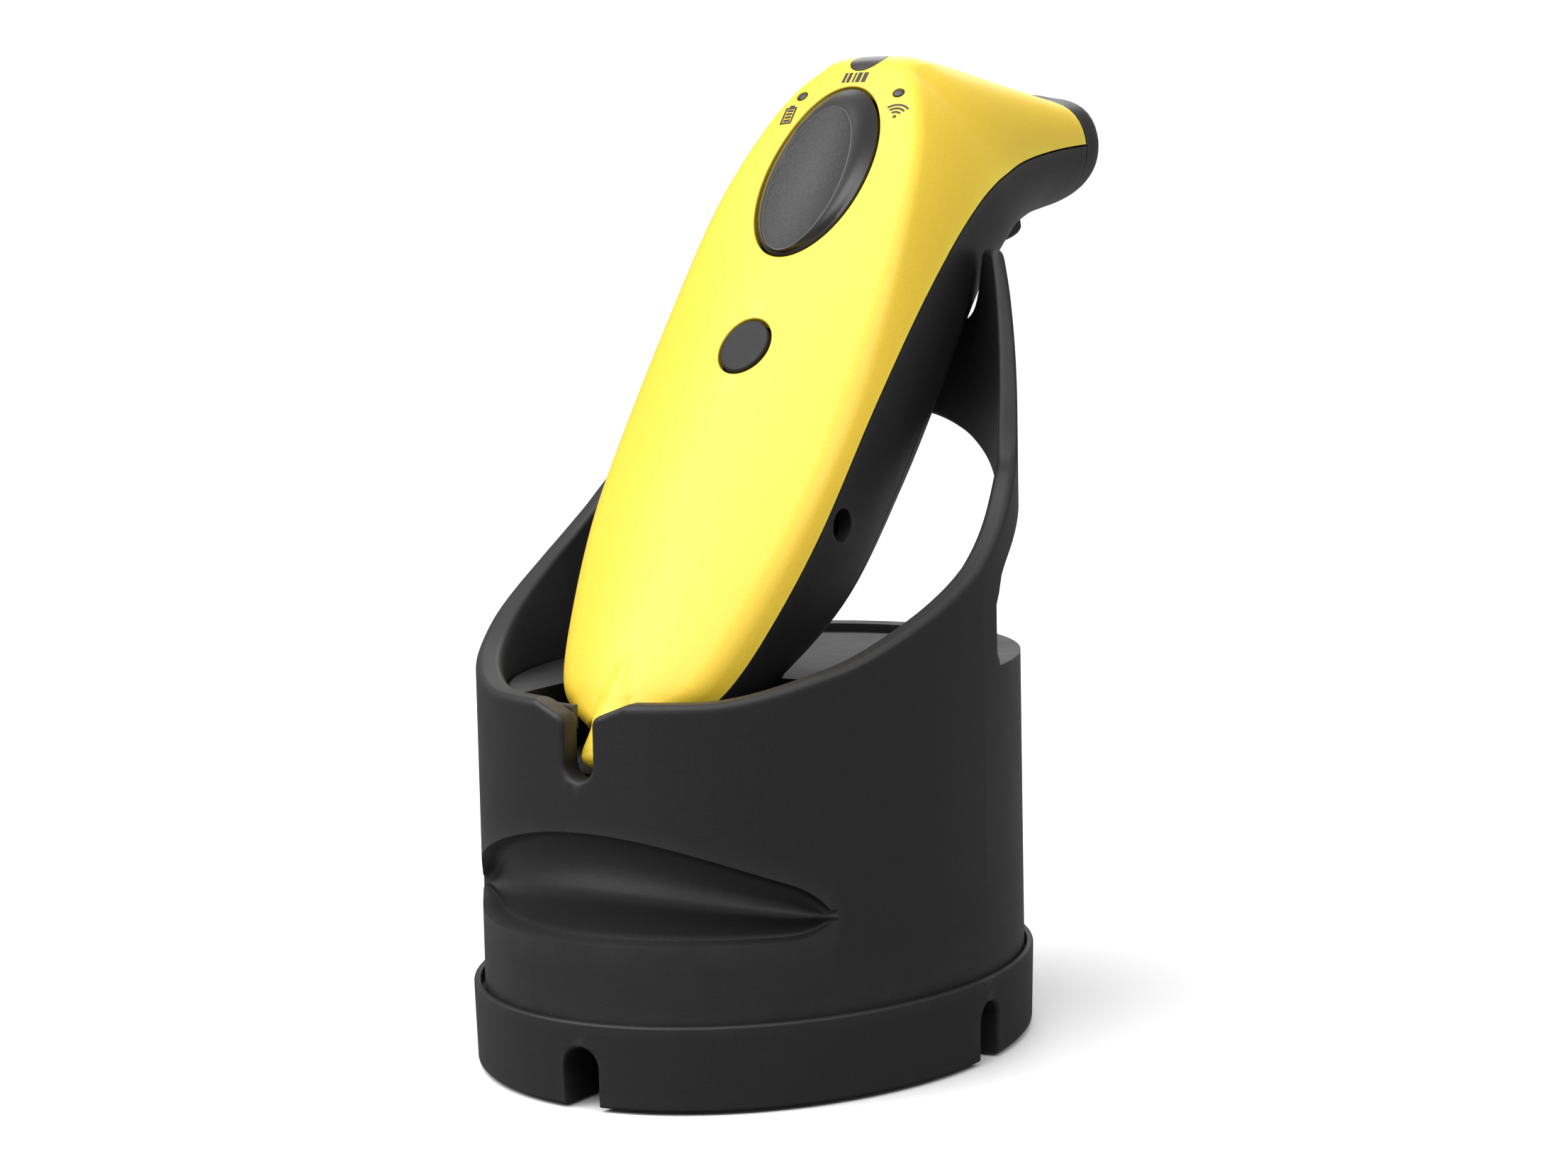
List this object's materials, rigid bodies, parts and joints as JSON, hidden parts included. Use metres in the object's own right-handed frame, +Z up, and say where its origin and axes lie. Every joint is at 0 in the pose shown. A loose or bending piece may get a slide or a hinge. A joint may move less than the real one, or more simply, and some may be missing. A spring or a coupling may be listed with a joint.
{
  "type": "handheld barcode scanner",
  "caption": "Cordless one-hand barcode scanner with bent head and trigger, leaning in a tall oval charging dock with a rear window and sloping rim",
  "frame": {"origin": "middle of the dock's underside, on the surface it stands on", "axes": "+Z up, -Y the dock's front with the tail notch, +X to the right of a person facing the front, scanner nose towards +Y"},
  "size_m": [0.07, 0.1295, 0.1312],
  "materials": {
    "yellow_plastic": "satin",
    "black_plastic": "fine texture",
    "charcoal_plastic": "fine texture",
    "button_rubber": "matte",
    "window_glass": "clear tinted",
    "indicator_lens": "smooth",
    "circuit_board": "solder mask",
    "plated_metal": "plated",
    "gold_contact": "plated",
    "steel_weight": "brushed",
    "cell_wrap": "shrink film",
    "foot_rubber": "matte"
  },
  "bodies": {
    "dock": {"dock_housing": "charcoal_plastic", "cradle_floor": "charcoal_plastic", "base_ring": "charcoal_plastic", "base_weight": "steel_weight", "dock_board": "circuit_board", "power_inlet": "plated_metal", "contact_block": "black_plastic", "contact_flex": "circuit_board", "contact_spring_left": "plated_metal", "contact_spring_right": "plated_metal", "base_screw_front_right": "plated_metal", "base_screw_front_left": "plated_metal", "base_screw_rear_left": "plated_metal", "base_screw_rear_right": "plated_metal", "foot_front_right": "foot_rubber", "foot_front_left": "foot_rubber", "foot_rear_left": "foot_rubber", "foot_rear_right": "foot_rubber"},
    "scanner": {"top_shell": "yellow_plastic", "lower_shell": "black_plastic", "nose_bezel": "black_plastic", "scan_window": "window_glass", "read_indicator_lens": "indicator_lens", "battery_led_lens": "indicator_lens", "link_led_lens": "indicator_lens", "battery_cover": "black_plastic", "charge_pad_left": "gold_contact", "charge_pad_right": "gold_contact", "head_foot": "foot_rubber", "main_board": "circuit_board", "trigger_switch": "plated_metal", "power_switch": "plated_metal", "beeper": "black_plastic", "vibration_motor": "plated_metal", "battery_cell": "cell_wrap", "charge_jack": "black_plastic", "jack_pin": "plated_metal", "scan_engine": "black_plastic", "imager_lens": "window_glass", "aimer_lens": "window_glass", "engine_bracket": "plated_metal", "shell_screw_left": "plated_metal", "shell_screw_right": "plated_metal"},
    "trigger": {"trigger_button": "button_rubber"},
    "power_key": {"power_button": "button_rubber"},
    "pin_left": {"contact_pin_left": "gold_contact"},
    "pin_right": {"contact_pin_right": "gold_contact"}
  },
  "joints": [
    {"name": "scanner_lift", "type": "slide", "parent": "dock", "child": "scanner", "axis": [0, 0, 1], "range_m": [0, 0.065]},
    {"name": "trigger_press", "type": "slide", "parent": "scanner", "child": "trigger", "axis": [0, 0.766, -0.6428], "range_m": [0, 0.0009], "stiffness_N_per_m": 600, "springref_m": -0.0012},
    {"name": "power_press", "type": "slide", "parent": "scanner", "child": "power_key", "axis": [0, 0.766, -0.6428], "range_m": [0, 0.0006], "stiffness_N_per_m": 500, "springref_m": -0.0012},
    {"name": "contact_left", "type": "slide", "parent": "dock", "child": "pin_left", "axis": [0, 0, -1], "range_m": [0, 0.001], "stiffness_N_per_m": 150, "springref_m": -0.001, "deforming": ["contact_spring_left"]},
    {"name": "contact_right", "type": "slide", "parent": "dock", "child": "pin_right", "axis": [0, 0, -1], "range_m": [0, 0.001], "stiffness_N_per_m": 150, "springref_m": -0.001, "deforming": ["contact_spring_right"]}
  ]
}
